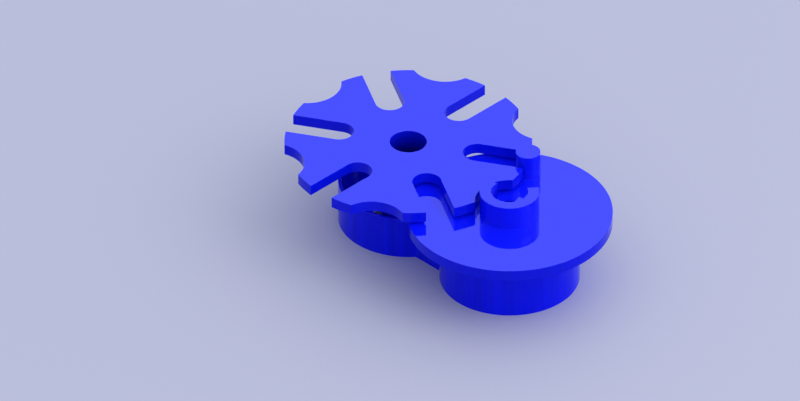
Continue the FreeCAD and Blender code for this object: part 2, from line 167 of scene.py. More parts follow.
class GenevaSizes(bpy.types.PropertyGroup):
    """Sizes that the frame's boxes don't tell."""
    play: length("Play", "Slot width beyond the pin, and lock arc beyond the hub", 1.8)
    edge: length("Edge", "Radius that breaks most edges", 0.03)
    small_edge: length("Small edge", "Radius that breaks the edges of bushes, washers and inserts", 0.12)
    tray_edge: length("Tray edge", "Radius on the tray's rim and ribs", 0.2)
    boss_edge: length("Boss edge", "Radius on the bosses over the inserts", 0.3)
    nut_edge: length("Nut edge", "Radius that breaks the edges of the lock nut", 0.3)
    post_edge: length("Post edge", "Radius on the top edges of the bearing posts", 0.4)
    post_fillet: length("Post fillet", "Radius where a post's tube meets its flange", 0.6)
    sleeve_edge: length("Sleeve edge", "Radius on the sleeves' lower ends", 0.35)
    facet: length("Facet", "Longest straight step along an arc", 0.7)
    bush_wall: length("Bush wall", "Wall of the bronze bushes", 2.0)
    bush_chamfer: length("Bush chamfer", "Chamfer at the bushes' plain ends", 0.4)
    gap: length("Fit gap", "Radial gap between pieces that fit", 0.05)
    loose_gap: length("Loose gap", "Radial gap at washers and through holes", 0.2)
    post_flange: length("Post flange", "Thickness of the bearing posts' flanges", 4.0)
    bush_flange: length("Bush flange", "Thickness of the bushes' flanges", 2.0)
    frame_wall: length("Frame wall", "Wall of the tray", 1.3)
    bridge_width: length("Bridge width", "Width of the tray between its lobes", 35.8)
    floor_fillet: length("Floor fillet", "Radius where the tray's wall meets its floor", 1.0)
    rib_height: length("Rib height", "Ribs above the floor", 5.0)
    rib_thickness: length("Rib thickness", "Thickness of the ribs", 1.3)
    rib_gap: length("Rib gap", "Gap between the ribs' ends and the bearing posts", 0.3)
    boss_wall: length("Boss wall", "Wall of the bosses round the inserts", 1.0)
    boss_cover: length("Boss cover", "Thickness of the bosses over the inserts", 1.6)
    key_width: length("Key width", "Width of the key between the locking hub and the disc", 3.0)
    groove_depth: length("Circlip groove", "Depth of the circlip grooves", 0.9)
    circlip_gap: length("Circlip gap", "Opening of the circlips", 5.0)
    circlip_taper: length("Circlip taper", "How far the circlips' outside comes in beside their ears", 1.5)
    plier_hole: length("Plier hole", "Diameter of the holes in the circlips' ears", 1.2)
    nut_slot_width: length("Nut slot width", "Width of the lock nut's spanner slots", 3.2)
    nut_slot_depth: length("Nut slot depth", "Depth of the lock nut's spanner slots", 1.6)
    post_screw: length("Post screw", "Thread diameter of the post screws", 2.5)
    post_screw_head: length("Post screw head", "Head diameter of the post screws", 4.5)
    hub_screw: length("Hub screw", "Thread diameter of the wheel's screws", 2.0)
    hub_screw_head: length("Hub screw head", "Head diameter of the wheel's screws", 3.8)
    insert_bore: length("Insert bore", "Core diameter of the threaded inserts", 2.5)
    coarse_pitch: length("Pin pitch", "Pitch of the pin's thread", 1.0)
    coarse_depth: length("Pin thread", "Depth of the pin's thread", 0.35)
    fine_pitch: length("Insert pitch", "Pitch of the inserts' threads", 0.5)
    fine_depth: length("Insert thread", "Depth of the inserts' threads", 0.25)


class GenevaFinish(bpy.types.PropertyGroup):
    """Colours, surface marks and painted shade."""
    blue: colour("Blue", "Colour of the wheel, disc, hub, pin and frame", (0.002, 0.006, 0.86))
    # The sides' blue is painted shade: the blue darkened for the wheel's and the disc's upright sides.
    side_blue: colour("Side blue", "Colour of the wheel's and the disc's sides", (0.002, 0.006, 0.72))
    bronze: colour("Bronze", "Colour of the bushes", (0.62, 0.36, 0.16))
    steel: colour("Steel", "Colour of washers, nuts and screws", (0.62, 0.63, 0.65))
    brass: colour("Brass", "Colour of the threaded inserts", (0.78, 0.57, 0.26))
    gloss: share("Gloss roughness", "Roughness of the blue finish", 0.012)
    glass_index: share("Index", "Refractive index of the blue finish", 1.47, 3.0)
    # Depth below a bore's mouth at which its painted shade is darkest
    painted_bore_shade_depth: length("Bore fade", "Depth at which a bore is darkest", 12.0)
    polish: share("Polish", "Specular level of the polished blue faces", 0.5)
    satin: share("Satin", "Specular level of the frame and of the plates' sides", 0.12)
    # Streak depths darken the colour of upright faces, as a random tone and as painted reflection streaks.
    streak: share("Frame streaks", "Depth of the upright streaks on the moulded frame", 0.48)
    side_streak: share("Plate streaks", "Depth of the streaks on the disc's side", 0.35)
    faint_streak: share("Faint streaks", "Depth of the streaks on the wheel's sides, hubs, posts and pin",
                        0.12)


class GenevaStage(bpy.types.PropertyGroup):
    """Floor, lights and camera."""
    floor: colour("Floor", "Colour of the floor", (0.45, 0.415, 0.565))
    azimuth: angle("Azimuth", "Camera direction round the object", 45.0)
    elevation: angle("Elevation", "Camera height above the horizon", degrees(asin(1 / sqrt(3))))
    view_width: length("View width", "Width that the camera shows", 322.7)
    view_left: length("View left", "Camera's middle, to the left of the origin", 23.76)
    view_up: length("View up", "Camera's middle, above the origin", 18.24)
    key: share("Key light", "Power of the large soft light at the right, in watts", 2.4, 1000.0)
    horizon: share("Horizon", "Brightness of the studio near the floor", 0.85, 10.0)
    sky: share("Sky", "Brightness of the studio higher up", 1.05, 10.0)
    lean: share("Lean", "Share by which the studio is brighter at the right than at the left", 0.5)


def sizes():
    """The size settings."""
    return bpy.context.scene.geneva_sizes


def finish():
    """The finish settings."""
    return bpy.context.scene.geneva_finish


# Paths: rows of x, y, normal at the step's start, normal at its end

def line(start, end):
    """Straight step. Its normal is its direction turned a quarter clockwise."""
    travel = np.subtract(end, start) / np.hypot(*np.subtract(end, start))
    normal = (travel[1], -travel[0])
    return np.array([[*start, *normal, *normal]])


def chain(*corners):
    """Straight steps from each corner to the next."""
    return np.vstack([line(start, end) for start, end in zip(corners, corners[1:])])


def arc(centre, radius, first, last, count=None):
    """Arc: point = centre + radius * (cos a, sin a), a going evenly from first to last degrees.

    The normal points away from the centre when a grows and towards it when a shrinks.
    """
    turn = radians(abs(last - first))
    if count is None:
        count = max(ceil(turn * radius / sizes().facet), ceil(turn / WIDEST_STEP), 2)
    rays = ray(np.linspace(first, last, count + 1))
    normal = rays * copysign(1, last - first)
    return np.hstack([centre + radius * rays[:-1], normal[:-1], normal[1:]])


def circle(centre, radius, count=None):
    """Whole circle with its normals outwards."""
    return arc(centre, radius, 0, 360, count)


def hole(centre, radius, count=None):
    """Whole circle with its normals towards the centre."""
    return arc(centre, radius, 360, 0, count)


def polygon(corners):
    """Closed path of straight steps through the corners, anticlockwise for an outside."""
    travel = np.roll(corners, -1, axis=0) - corners
    travel /= np.linalg.norm(travel, axis=1, keepdims=True)
    normal = np.stack([travel[:, 1], -travel[:, 0]], 1)
    return np.hstack([corners, normal, normal])


def hexagon_hole(centre, width):
    """Hexagon of that width across flats, with its normals towards the centre."""
    return polygon(centre + width / sqrt(3) * ray(-60 * np.arange(6)))


def knurled(centre, radius, ridges, root):
    """Ridged circle: every other point at the radius, and those between at root times the radius."""
    reach = radius * np.tile([root, 1.0], ridges)
    return polygon(centre + reach[:, None] * ray(180 / ridges * np.arange(2 * ridges)))


def turned(path, turn, centre):
    """Path turned by degrees about the origin and then moved to centre."""
    c, s = ray(turn)
    pairs = path.reshape(len(path), 3, 2) @ np.array([[c, s], [-s, c]])
    pairs[:, 0] += centre
    return pairs.reshape(len(path), 6)


def miters(path):
    """For each point, the move that takes both of its steps outwards by one."""
    before = np.roll(path[:, 4:6], 1, axis=0)
    after = path[:, 2:4]
    return (before + after) / (1 + (before * after).sum(1, keepdims=True))


def corner_angle(near, far, opposite):
    """Degrees between two sides of a triangle, by the law of cosines."""
    return degrees(acos((near ** 2 + far ** 2 - opposite ** 2) / (2 * near * far)))


def places_round(centre, radius, count, first=0.0):
    """Evenly spaced points on a circle, the first one at that many degrees."""
    return centre + radius * ray(first + 360 / count * np.arange(count))


# Profiles: rows of distance out, height, and the normal's share outwards and upwards

def rounded(corners, closed=False, steps=3):
    """Profile through corners (out, height, radius), each rounded by an arc of its radius.

    It goes anticlockwise round the material, so a point's normal is its direction of travel
    turned a quarter clockwise. On an arc the normal swings evenly from one side's to the next's.
    """
    table = np.array(corners, float)
    spots, radii = table[:, :2], table[:, 2]
    travel = np.roll(spots, -1, axis=0) - spots
    travel = travel / np.linalg.norm(travel, axis=1, keepdims=True)
    rows = []
    for i in range(len(spots)):
        before, after = travel[i - 1], travel[i]
        if not closed and i in (0, len(spots) - 1):
            side = after if i == 0 else before
            rows.append([[*spots[i], side[1], -side[0]]])
            continue
        turn = atan2(before[0] * after[1] - before[1] * after[0], before @ after)
        way = copysign(radii[i], turn)
        normal = np.array([before[1], -before[0]])
        centre = spots[i] - before * radii[i] * tan(abs(turn) / 2) - way * normal
        rays = ray(np.degrees(atan2(normal[1], normal[0]) + turn * np.linspace(0, 1, steps + 1)))
        rows.append(np.hstack([centre + way * rays, rays]))
    return np.vstack(rows)


def edge_profile(bottom, top, edge):
    """Outside of a plate: up its side, with both edges broken by a quarter round."""
    inside = -1.5 * edge
    return rounded([(inside, bottom, 0), (0, bottom, edge), (0, top, edge), (inside, top, 0)])


def new_object(name, data):
    """Object of that name, linked into the scene."""
    thing = bpy.data.objects.new(name, data)
    bpy.context.scene.collection.objects.link(thing)
    return thing


class Shell:
    """Points, faces and corner normals of one piece, gathered before they go into its mesh."""

    def __init__(self):
        self.points = np.zeros((0, 3))
        self.faces = []
        self.normals = []

    def add_points(self, points):
        """Numbers for new points, in the points' own layout."""
        first = len(self.points)
        self.points = np.vstack([self.points, points.reshape(-1, 3)])
        return first + np.arange(points[..., 0].size).reshape(points.shape[:-1])

    def add_faces(self, quads, normals):
        """Four-sided faces, given as the numbers and the normals of their first to fourth corners."""
        self.faces.append(np.stack(quads, -1).reshape(-1, 4))
        self.normals.append(np.stack(normals, 2).reshape(-1, 3))

    def wall(self, path, profile, closed=False):
        """Profile carried along a closed path. Returns its first and last rings of points.

        point = path point + distance out * miter, at the profile's height
        normal = share outwards * path normal + share upwards * up

        Rows at one place, as at a sharp corner, share their points and have no band between them.
        """
        fresh = np.append(True, np.any(np.diff(profile[:, :2], axis=0) != 0, axis=1))
        rows = profile[fresh]
        spots = path[:, None, :2] + rows[None, :, 0, None] * miters(path)[:, None]
        heights = np.broadcast_to(rows[None, :, 1, None], (*spots.shape[:2], 1))
        number = self.add_points(np.concatenate([spots, heights], -1))[:, np.cumsum(fresh) - 1]
        ends = number[:, 0], number[:, -1]
        if closed:
            number = np.hstack([number, number[:, :1]])
            profile = np.vstack([profile, profile[:1]])
            fresh = np.append(fresh, True)
        band = fresh[1:]
        beyond = np.roll(number, -1, axis=0)
        quads = [number[:, :-1], beyond[:, :-1], beyond[:, 1:], number[:, 1:]]

        def tilted(flat, rows):
            out = flat[:, None, :] * rows[None, :, 2, None]
            up = np.broadcast_to(rows[None, :, 3, None], (*out.shape[:2], 1))
            return np.concatenate([out, up], -1)

        start, end = path[:, 2:4], path[:, 4:6]
        lower, upper = profile[:-1][band], profile[1:][band]
        self.add_faces([quad[:, band] for quad in quads],
                       [tilted(start, lower), tilted(end, lower), tilted(end, upper), tilted(start, upper)])
        return ends

    def grid(self, points):
        """Surface points[i, j], closed in i. Its normal is the cross product of its two slopes."""
        number = self.add_points(points)
        wide = np.concatenate([points[-1:], points, points[:1]])
        along = np.gradient(wide, axis=0)[1:-1]
        across = np.gradient(points, axis=1)
        normal = np.cross(along, across)
        normal /= np.linalg.norm(normal, axis=-1, keepdims=True)
        beyond, ahead = np.roll(number, -1, axis=0), np.roll(normal, -1, axis=0)
        self.add_faces([number[:, :-1], beyond[:, :-1], beyond[:, 1:], number[:, 1:]],
                       [normal[:, :-1], ahead[:, :-1], ahead[:, 1:], normal[:, 1:]])
        return number[:, 0], number[:, -1]

    def strips(self, lower, upper, normals):
        """Bands between lower[i, j] and upper[i, j], each band with the normals of its own points."""
        bottom, top = self.add_points(lower), self.add_points(upper)
        self.add_faces([bottom[:, :-1], bottom[:, 1:], top[:, 1:], top[:, :-1]],
                       [normals[:, :-1], normals[:, 1:], normals[:, 1:], normals[:, :-1]])

    def cap(self, rings, up=1):
        """Flat face between rings of points at one height, facing up or down."""
        order = np.concatenate(rings)
        loops = [[Vector(p) for p in self.points[ring]] for ring in rings]
        triangles = order[np.array(tessellate_polygon(loops))]
        a, b, c = (self.points[triangles[:, i], :2] for i in range(3))
        if np.cross(b - a, c - a).sum() * up < 0:
            triangles = triangles[:, ::-1]
        self.faces.append(triangles)
        self.normals.append(np.tile([0.0, 0.0, float(up)], (triangles.size, 1)))

    def close(self, *ends):
        """Flat faces under the lower rings and over the upper rings, which are given in pairs."""
        lower, upper = zip(*ends)
        self.cap(lower, -1)
        self.cap(upper, 1)

    def plate(self, paths, bottom, top, edge):
        """Flat plate: an outside path and any holes, with their edges broken."""
        self.close(*[self.wall(path, edge_profile(bottom, top, edge)) for path in paths])

    def spun(self, centre, profile, closed=True, count=None):
        """Profile of radius and height spun round an upright axis at centre."""
        if count is None:
            count = max(LEAST_STEPS, ceil(2 * pi * profile[:, 0].max() / sizes().facet))
        return self.wall(circle(centre, 0, count), profile, closed)

    def piece(self, name, body, slot, node, *finishes):
        """The finished object, riding on its body in place of its CAD node.

        Its upright faces take the second finish, where one is given.
        """
        mesh = bpy.data.meshes.new(name)
        counts = np.concatenate([np.full(len(f), f.shape[1]) for f in self.faces])
        corner = np.concatenate([f.reshape(-1) for f in self.faces])
        mesh.vertices.add(len(self.points))
        mesh.vertices.foreach_set("co", self.points.astype(np.float32).ravel())
        mesh.loops.add(len(corner))
        mesh.loops.foreach_set("vertex_index", corner.astype(np.int32))
        mesh.polygons.add(len(counts))
        starts = np.concatenate([[0], np.cumsum(counts)[:-1]])
        mesh.polygons.foreach_set("loop_start", starts.astype(np.int32))
        mesh.polygons.foreach_set("use_smooth", np.ones(len(counts), bool))
        mesh.update(calc_edges=True)
        mesh.normals_split_custom_set(np.vstack(self.normals).tolist())
        for finish_name in finishes:
            mesh.materials.append(material(finish_name))
        if len(finishes) > 1:
            tilts = [n.reshape(len(f), -1, 3)[..., 2].mean(1) for f, n in zip(self.faces, self.normals)]
            upright = np.abs(np.concatenate(tilts)) < 0.5
            mesh.polygons.foreach_set("material_index", upright.astype(np.int32))
        mesh.validate()
        piece = new_object(name, mesh)
        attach(piece, body)
        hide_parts(node)


# Materials

def add(tree, kind, inputs=None, **settings):
    """Node with its settings and inputs. An input is a value, or the socket that feeds it."""
    node = tree.nodes.new("ShaderNode" + kind)
    for key, value in settings.items():
        setattr(node, key, value)
    for key, value in (inputs or {}).items():
        if isinstance(value, bpy.types.NodeSocket):
            tree.links.new(value, node.inputs[key])
        else:
            node.inputs[key].default_value = value
    return node


def new_material(name):
    """Empty node material, and its tree."""
    material = bpy.data.materials.new(name)
    material.use_nodes = True
    material.node_tree.nodes.clear()
    return material, material.node_tree


def output(tree, shader):
    """Feeds the material's surface."""
    tree.links.new(shader, add(tree, "OutputMaterial").inputs["Surface"])


def maths(tree, operation, *values, clamp=False):
    """Math node's result."""
    return add(tree, "Math", dict(enumerate(values)), operation=operation, use_clamp=clamp).outputs[0]


def vectors(tree, operation, *values):
    """Vector Math node's result."""
    kind = "Value" if operation in ("DISTANCE", "DOT_PRODUCT") else "Vector"
    return add(tree, "VectorMath", dict(enumerate(values)), operation=operation).outputs[kind]


def part(tree, vector, side):
    """A vector's part along X, Y or Z."""
    return add(tree, "SeparateXYZ", {0: vector}).outputs[side]


def squashed(tree, place, share_up=0.0):
    """Place with that share of its height."""
    return vectors(tree, "MULTIPLY", place, (1, 1, share_up))


def axis_distance(tree, place, centre):
    """Distance from the upright axis at centre."""
    return vectors(tree, "DISTANCE", squashed(tree, place), (*centre, 0))


def noise(tree, place, scale, detail=2.0):
    """Noise at a place, its scale in grains per metre."""
    return add(tree, "TexNoise", {"Vector": place, "Scale": scale, "Detail": detail}).outputs["Fac"]


def mapped(tree, value, source, target=(0.0, 1.0)):
    """Value taken from the source range to the target range, and held within it."""
    ends = zip(("From Min", "From Max", "To Min", "To Max"), (*source, *target))
    return add(tree, "MapRange", {"Value": value, **dict(ends)}).outputs["Result"]


def uneven(tree, value, grain, least, most):
    """Value between its least and its most share, as the grain's noise has it."""
    return mapped(tree, grain, NOISE_RANGE, (least * value, most * value))


def scaled(tint, level):
    """Tint at a level of its brightness."""
    return (*[level * c for c in tint], 1)


def mixed(tree, factor, first, second):
    """Colour that goes from the first to the second as the factor goes from nought to one."""
    return add(tree, "Mix", {"Factor": factor, "A": first, "B": second}, data_type="RGBA").outputs[2]


def ripple(tree, height, strength):
    """Normal of a finely rippled surface."""
    inputs = {"Height": height, "Strength": strength, "Distance": RIPPLE_DEPTH}
    return add(tree, "Bump", inputs).outputs["Normal"]


def surface(tree, inputs):
    """Principled shader with these inputs, fed to the material's surface."""
    output(tree, add(tree, "BsdfPrincipled", inputs).outputs[0])


def upright_streaks(tree, place):
    """Share from nought to one, the same nearly all the way up: broad streaks and narrow ones. In the blue's
    colour they are a random tone and painted reflection streaks.

    Share = 0.3 * noise of 230 grains a metre + 0.7 * noise of 2200, spread over its middle range.
    """
    broad = noise(tree, squashed(tree, place, 0.004), scale=230, detail=1.0)
    narrow = noise(tree, squashed(tree, place, 0.002), scale=2200)
    both = maths(tree, "MULTIPLY_ADD", broad, 0.3, maths(tree, "MULTIPLY", narrow, 0.7))
    return mapped(tree, both, (0.44, 0.66))


def blue_material(name, tint, shine, streak, station=None, top=0.0):
    """Glossy blue with upright streaks on its sides, both in its colour, as a random tone and painted reflection
    streaks, and as a fine ripple.

    Where a station is named, its bore gets painted shade, darker the deeper it goes: darkness = depth below the
    mouth / fade depth, where the distance from the axis is within the bore.
    """
    material, tree = new_material(name)
    settings = finish()
    place = add(tree, "TexCoord").outputs["Object"]
    base = (*tint, 1)
    inputs = {"IOR": settings.glass_index, "Specular IOR Level": shine}
    if streak:
        # On upright faces the streaks darken the colour: a random tone and painted reflection streaks
        upright = part(tree, add(tree, "NewGeometry").outputs["Normal"], "Z")
        side = maths(tree, "SUBTRACT", 1.0, maths(tree, "ABSOLUTE", upright), clamp=True)
        lines = upright_streaks(tree, place)
        depth = maths(tree, "MULTIPLY", maths(tree, "MULTIPLY", lines, side), streak)
        base = mixed(tree, depth, base, scaled(tint, STREAK_TONE_AND_REFLECTION))
        inputs["Normal"] = ripple(tree, lines, maths(tree, "MULTIPLY", side, 0.2 * streak))
    # Painted shade in the bore, darker the deeper it goes
    if station:
        inside = maths(tree, "LESS_THAN", axis_distance(tree, place, AXIS[station]), BORE + BORE_MARGIN)
        fade = settings.painted_bore_shade_depth
        bore_shade_share = maths(tree, "MULTIPLY_ADD", part(tree, place, "Z"), -1 / fade, top / fade, clamp=True)
        base = mixed(tree, maths(tree, "MULTIPLY", inside, bore_shade_share), base, scaled(tint, PAINTED_BORE_SHADE))
    smear = noise(tree, place, scale=60, detail=3.0)
    rough = uneven(tree, settings.gloss, smear, least=0.6, most=1.4)
    surface(tree, {"Base Color": base, "Roughness": rough, **inputs})
    return material


def turned_metal(name, tint, centre, roughness, depth):
    """Metal turned on a lathe: noise that varies only with the distance from the axis and the height."""
    material, tree = new_material(name)
    place = add(tree, "TexCoord").outputs["Object"]
    distance, height = axis_distance(tree, place, centre), part(tree, place, "Z")
    across = add(tree, "CombineXYZ", {"X": distance, "Y": height}).outputs[0]
    stain = noise(tree, place, scale=140, detail=4.0)
    band, grooves = noise(tree, across, scale=900), noise(tree, across, scale=6000)
    tone = maths(tree, "MULTIPLY_ADD", band, 0.5, maths(tree, "MULTIPLY", stain, 0.5))
    base = mixed(tree, tone, (*tint, 1), scaled(tint, STAIN_SHADE))
    rough = uneven(tree, roughness, stain, least=0.8, most=1.25)
    surface(tree, {"Base Color": base, "Roughness": rough, "Metallic": 1.0,
                   "Normal": ripple(tree, grooves, depth)})
    return material


def material(name):
    """Material of that name, made when it is first asked for."""
    if name in bpy.data.materials:
        return bpy.data.materials[name]
    settings = finish()
    blue, side_blue, polish, satin = settings.blue, settings.side_blue, settings.polish, settings.satin
    faint = settings.faint_streak
    # A station and its top give a material painted shade down that station's bore
    star = "wheel", high("geneva_wheel").z
    blues = {
        "moulded_blue": (blue, satin, settings.streak),
        "disc_blue": (blue, polish, 0.0),
        # The side materials take the darker side blue as painted shade on the plates' upright faces.
        "disc_side_blue": (side_blue, satin, settings.side_streak),
        "star_blue": (blue, polish, 0.0, *star),
        "star_side_blue": (side_blue, satin, faint, *star),
        "sleeve_blue": (blue, polish, faint, *star),
        "crescent_blue": (blue, polish, faint, "drive", DISC_TOP),
        "smooth_blue": (blue, polish, faint),
    }
    if name in blues:
        return blue_material(name, *blues[name])
    kind, station = name.rsplit("_", 1)
    centre = {**AXIS, "pin": PIN_PLACE}.get(station, (0, 0))
    tint, roughness, depth = {
        "bronze": (settings.bronze, 0.28, 0.5),
        "steel": (settings.steel, 0.22, 0.35),
        "brass": (settings.brass, 0.25, 0.4),
    }[kind]
    return turned_metal(name, tint, centre, roughness, depth)


def dress(node, name):
    """Gives a CAD node that stays in view its material."""
    mesh = frame["nodes"][node].data
    mesh.materials.clear()
    mesh.materials.append(material(name))


# The geneva pair

def star_outline():
    """Six slots with lock arcs between them, round the wheel's axis.

    For each sixth: rim arc, slot side, slot end, slot side, rim arc and lock arc. The lock arc is
    centred at the driver's distance, and its ends are where it crosses the rim.
    """
    play = sizes().play
    half_slot = PIN_RADIUS + play / 2
    lock_arc = LOCK_RADIUS + play
    crossing = corner_angle(WHEEL_RADIUS, SPAN, lock_arc)
    sweep = corner_angle(lock_arc, SPAN, WHEEL_RADIUS)
    half_mouth = degrees(asin(half_slot / WHEEL_RADIUS))
    mouth = WHEEL_RADIUS * cos(radians(half_mouth))
    origin = (0, 0)
    sixth = np.vstack([
        arc(origin, WHEEL_RADIUS, crossing - HALF_STEP, -half_mouth),
        line((mouth, -half_slot), (SLOT_END, -half_slot)),
        arc((SLOT_END, 0), half_slot, -90, -270),
        line((SLOT_END, half_slot), (mouth, half_slot)),
        arc(origin, WHEEL_RADIUS, half_mouth, HALF_STEP - crossing),
        turned(arc(origin, lock_arc, 180 + sweep, 180 - sweep), HALF_STEP, SPAN * ray(HALF_STEP)),
    ])
    return np.vstack([turned(sixth, HALF_STEP + 2 * HALF_STEP * i, AXIS["wheel"]) for i in range(SLOT_COUNT)])


def build_wheel():
    """Star wheel."""
    shell = Shell()
    shell.plate([star_outline(), hole(AXIS["wheel"], BORE)], *levels("geneva_wheel"), sizes().edge)
    shell.piece("star_wheel", "wheel", "blue_gloss", "geneva_wheel", "star_blue", "star_side_blue")


def keyed_hole(centre, radius, reach, width, direction):
    """Hole with a keyway out to reach on its side in that direction."""
    half = width / 2
    side = degrees(asin(half / radius))
    start = radius * cos(radians(side))
    path = np.vstack([
        arc((0, 0), radius, 360 - side, side),
        chain((start, half), (reach, half), (reach, -half), (start, -half)),
    ])
    return turned(path, direction, centre)


def build_disc():
    """Drive disc with the keyed hole of its hub and the hole of its pin."""
    shell = Shell()
    size = sizes()
    tilt = radians(CRANK - 90)
    gap, width = size.gap, size.key_width
    reach = (-low("hub_key").y - width / 2 * sin(tilt)) / cos(tilt) + gap
    shell.plate([
        circle(AXIS["drive"], radius_of("drive_disc")),
        keyed_hole(AXIS["drive"], SLEEVE_RADIUS + gap, reach, width + 2 * gap, CRANK + 180),
        hole(PIN_PLACE, SHANK_RADIUS + gap),
    ], *levels("drive_disc"), size.edge)
    shell.piece("crank_disc", "driver", "blue_gloss", "drive_disc", "disc_blue", "disc_side_blue")


def crescent_outline():
    """Collar with a crescent cut away towards the pin, in the crank's own direction.

    The cutting circle is centred two collar radii out and is root three collar radii large, so it
    meets the collar at sixty degrees and the bore where the law of cosines says.
    """
    cut = sqrt(3) * LOCK_RADIUS
    reach = 2 * LOCK_RADIUS
    outer, inner = 60.0, corner_angle(BORE, reach, cut)
    outer_sweep, inner_sweep = (corner_angle(cut, reach, radius) for radius in (LOCK_RADIUS, BORE))
    return np.vstack([
        arc((0, 0), LOCK_RADIUS, outer, 360 - outer),
        arc((reach, 0), cut, 180 + outer_sweep, 180 + inner_sweep),
        arc((0, 0), BORE, 360 - inner, inner),
        arc((reach, 0), cut, 180 - inner_sweep, 180 - outer_sweep),
    ])


def sleeve_section(station, node):
    """Section of a sleeve, from the foot of its bore up its outside to the circlip groove's top."""
    size = sizes()
    edge, foot = size.edge, low(node).z
    clip_low, clip_high = levels(station + "_circlip")
    groove = SLEEVE_RADIUS - size.groove_depth
    return [(BORE, foot, 2 * edge), (SLEEVE_RADIUS, foot, size.sleeve_edge), (SLEEVE_RADIUS, clip_low, edge),
            (groove, clip_low, edge), (groove, clip_high, edge), (SLEEVE_RADIUS, clip_high, edge)]


def build_locking_hub():
    """Crescent-cut collar on its sleeve."""
    shell = Shell()
    collar = turned(crescent_outline(), CRANK, AXIS["drive"])
    shell.plate([collar], DISC_TOP, high("locking_hub").z, sizes().edge)
    section = sleeve_section("drive", "locking_hub") + [(SLEEVE_RADIUS, DISC_TOP, 0), (BORE, DISC_TOP, 0)]
    shell.spun(AXIS["drive"], rounded(section, closed=True))
    shell.piece("crescent_hub", "driver", "blue_enamel", "locking_hub", "crescent_blue")


def build_wheel_hub():
    """Flanged sleeve under the wheel, with countersinks for its screws and holes for its dowels."""
    size = sizes()
    shell = Shell()
    centre = AXIS["wheel"]
    bottom, top = low("wheel_screws").z, high("wheel_hub").z
    ledge, inset = 0.15 * MM, 2 * MM
    section = [(BORE + inset, top, 0), (BORE, top, 0.5 * size.edge)] + sleeve_section("wheel", "wheel_hub")
    section += [(SLEEVE_RADIUS, bottom, ledge), (SLEEVE_RADIUS + 2 * ledge, bottom, 0)]
    sleeve = shell.spun(centre, rounded(section), closed=False)
    rim = shell.wall(circle(centre, HOUSING_RADIUS), edge_profile(bottom, top, 2 * size.edge))
    ends = [rim, sleeve[::-1]]
    shank = size.hub_screw / 2 + size.gap
    cone = (size.hub_screw_head - size.hub_screw) / 2
    countersink = rounded([(-cone, bottom, 0), (0, bottom + cone, 0), (0, top, 0)])
    straight = rounded([(0, bottom, 0), (0, top, 0)])
    for count, first, profile in ((6, 0, countersink), (2, HALF_STEP, straight)):
        for place in places_round(centre, HUB_SCREW_CIRCLE, count, first):
            ends.append(shell.wall(hole(place, shank, 32), profile))
    shell.close(*ends)
    shell.piece("star_hub", "wheel", "blue_enamel", "wheel_hub", "sleeve_blue")


def build_wheel_screws():
    """Countersunk screws with hexagon sockets, their heads down."""
    size = sizes()
    shell = Shell()
    bottom, top = levels("wheel_screws")
    head = size.hub_screw_head / 2
    cone = head - size.hub_screw / 2
    inset, tip = 0.3 * MM, 0.2 * MM
    outside = rounded([(-inset, bottom, 0), (0, bottom, size.edge), (-cone, bottom + cone, size.edge),
                       (-cone, top, tip), (-cone - 2 * tip, top, 0)])
    width = SOCKET_SHARE * size.hub_screw
    socket = rounded([(0, bottom, 0), (0, bottom + width, 0)])
    for place in places_round(AXIS["wheel"], HUB_SCREW_CIRCLE, 6):
        first, last = shell.wall(circle(place, head, 40), outside)
        mouth, floor = shell.wall(hexagon_hole(place, width), socket)
        shell.cap([first, mouth], -1)
        shell.cap([floor], -1)
        shell.cap([last], 1)
    shell.piece("star_screws", "wheel", "bright_steel", "wheel_screws", "steel_wheel")


def thread(centre, radius, bottom, top, pitch, depth, inside=False, count=32, steps=8):
    """Points of a threaded surface, to be given to Shell.grid.

    radius(turn, height) = radius - depth * triangle(height / pitch - turn), where triangle goes from
    nought to one and back over each turn. Inside a hole the depth is added instead. Outside, the depth
    runs out to nought over the last pitch below the top.
    """
    turns = np.linspace(0, 1, count, endpoint=False)
    heights = np.linspace(bottom, top, max(4, ceil((top - bottom) / pitch * steps)) + 1)
    if inside:
        turns = turns[::-1]
    t, z = np.meshgrid(turns, heights, indexing="ij")
    cut = depth * (1 - np.abs(2 * ((z / pitch - t) % 1.0) - 1))
    r = radius + cut if inside else radius - cut * np.clip((top - z) / pitch, 0, 1)
    return np.concatenate([centre + r[..., None] * ray(360 * t), z[..., None]], -1)


def build_pin():
    """Drive pin: plain head above the disc, threaded shank through it."""
    size = sizes()
    shell = Shell()
    foot, top = levels("drive_pin")
    plain, inset = low("drive_disc").z, 1 * MM
    shank = thread(PIN_PLACE, SHANK_RADIUS, foot, plain, size.coarse_pitch, size.coarse_depth, count=96)
    tip = shell.grid(shank)[0]
    head = rounded([(SHANK_RADIUS, plain, 0), (SHANK_RADIUS, DISC_TOP, 0), (PIN_RADIUS, DISC_TOP, size.edge),
                    (PIN_RADIUS, top, 2 * size.edge), (PIN_RADIUS - inset, top, 0)])
    last = shell.spun(PIN_PLACE, head, closed=False, count=96)[1]
    shell.close((tip, last))
    shell.piece("crank_pin", "driver", "blue_enamel", "drive_pin", "smooth_blue")


def lock_nut_outline():
    """Circle with four spanner slots, one of them over the key."""
    size = sizes()
    half = size.nut_slot_width / 2
    side = degrees(asin(half / RING_RADIUS))
    mouth, root = RING_RADIUS * cos(radians(side)), RING_RADIUS - size.nut_slot_depth
    quarter = np.vstack([
        chain((mouth, -half), (root, -half), (root, half), (mouth, half)),
        arc((0, 0), RING_RADIUS, side, 90 - side),
    ])
    return np.vstack([turned(quarter, CRANK + 90 * i, AXIS["drive"]) for i in range(4)])


def build_lock_nut():
    """Round slotted nut that clamps the disc against the collar."""
    size = sizes()
    shell = Shell()
    paths = [lock_nut_outline(), hole(AXIS["drive"], SLEEVE_RADIUS + size.gap)]
    shell.plate(paths, *levels("lock_nut"), size.nut_edge)
    shell.piece("slotted_lock_nut", "driver", "bright_steel", "lock_nut", "steel_drive")


